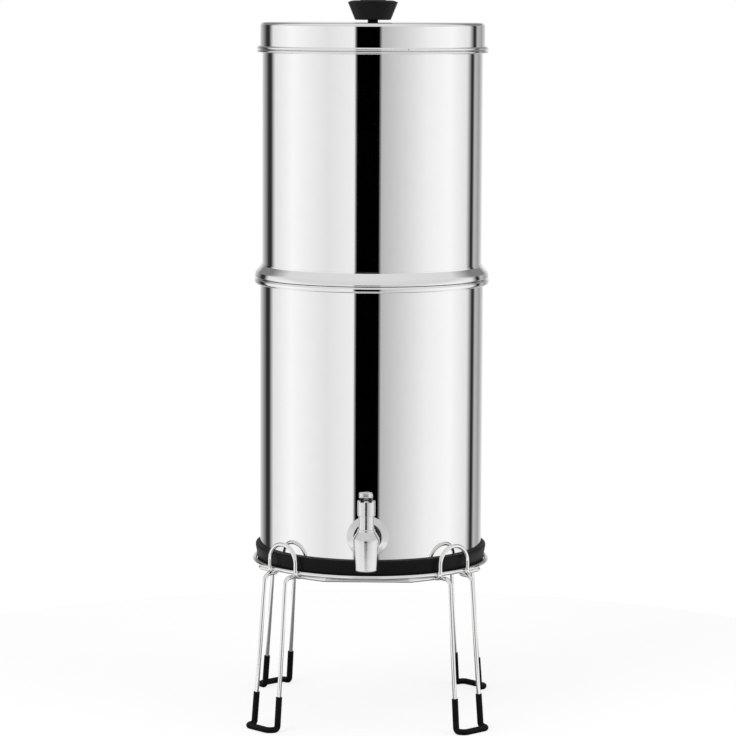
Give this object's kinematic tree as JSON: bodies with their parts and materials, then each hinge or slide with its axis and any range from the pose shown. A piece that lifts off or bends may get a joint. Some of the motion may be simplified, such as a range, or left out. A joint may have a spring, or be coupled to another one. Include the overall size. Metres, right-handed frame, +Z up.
{
  "type": "gravity water filter",
  "caption": "Tall stainless gravity water filter: stacked upper and lower tanks with a lid and knob, a lever tap at the front, and a bent-wire stand on sleeved toes.",
  "frame": {"origin": "on the floor, under the common axis of the tanks", "axes": "+Z up along the tanks' axis; the tap faces -Y, so +X is to the right seen from the front"},
  "size_m": [0.232, 0.2994, 0.6943],
  "materials": {
    "polished_steel": "mirror-polished stainless steel",
    "wire_steel": "bright polished wire",
    "black_rubber": "matte black rubber",
    "tap_steel": "polished cast stainless steel",
    "hardware_steel": "plain stainless hardware",
    "silicone": "translucent white silicone",
    "seal_rubber": "soft black rubber",
    "knob_plastic": "black moulded plastic, satin",
    "carbon_block": "pressed carbon, fine grain",
    "filter_plastic": "black moulded plastic"
  },
  "bodies": {
    "stand": {"stand_ring": "wire_steel", "stand_leg_front_left": "wire_steel", "stand_leg_front_right": "wire_steel", "stand_leg_rear_left": "wire_steel", "stand_leg_rear_right": "wire_steel", "stand_arch_front_left": "wire_steel", "stand_arch_front_right": "wire_steel", "stand_arch_rear_left": "wire_steel", "stand_arch_rear_right": "wire_steel", "foot_sleeve_front_left": "black_rubber", "foot_sleeve_front_right": "black_rubber", "foot_sleeve_rear_left": "black_rubber", "foot_sleeve_rear_right": "black_rubber"},
    "lower_tank": {"lower_chamber": "polished_steel", "base_ring": "black_rubber", "tap_body": "tap_steel", "tap_flange": "tap_steel", "tap_gasket_outer": "silicone", "tap_gasket_inner": "silicone", "tap_nut": "hardware_steel", "tap_bonnet": "tap_steel", "tap_spring": "hardware_steel", "tap_lever_pin": "tap_steel"},
    "tap_stem": {"tap_stem": "tap_steel", "tap_seat_cup": "silicone"},
    "tap_lever": {"tap_lever": "tap_steel"},
    "upper_tank": {"upper_chamber": "polished_steel", "upper_collar": "polished_steel", "filter_element_left": "carbon_block", "filter_top_cap_left": "filter_plastic", "filter_base_left": "filter_plastic", "filter_washer_left": "seal_rubber", "filter_wing_nut_left": "filter_plastic", "filter_element_right": "carbon_block", "filter_top_cap_right": "filter_plastic", "filter_base_right": "filter_plastic", "filter_washer_right": "seal_rubber", "filter_wing_nut_right": "filter_plastic", "blanking_plugs": "filter_plastic", "blanking_plug_washers": "seal_rubber", "blanking_plug_nuts": "filter_plastic"},
    "lid": {"lid_shell": "polished_steel", "lid_locating_ring": "polished_steel", "lid_knob": "knob_plastic", "lid_knob_screw": "hardware_steel", "lid_knob_washer": "hardware_steel"}
  },
  "joints": [
    {"name": "lower_tank_lift", "type": "slide", "parent": "stand", "child": "lower_tank", "axis": [0, 0, 1], "range_m": [0, 0.05]},
    {"name": "upper_tank_lift", "type": "slide", "parent": "lower_tank", "child": "upper_tank", "axis": [0, 0, 1], "range_m": [0, 0.08]},
    {"name": "lid_lift", "type": "slide", "parent": "upper_tank", "child": "lid", "axis": [0, 0, 1], "range_m": [0, 0.06]},
    {"name": "tap_lever", "type": "hinge", "parent": "lower_tank", "child": "tap_lever", "pos_m": [0, -0.1576, 0.2356], "axis": [1, 0, 0], "range_deg": [0, 25], "stiffness_Nm_per_rad": 0.12, "springref_deg": -14.32},
    {"name": "tap_stem_lift", "type": "slide", "parent": "lower_tank", "child": "tap_stem", "axis": [0, 0, 1], "range_m": [0, 0.002], "deforming": ["tap_spring"]}
  ],
  "couplings": [
    {"joint": "tap_lever", "follows": "tap_stem_lift", "rad_per_m": 218.1}
  ]
}
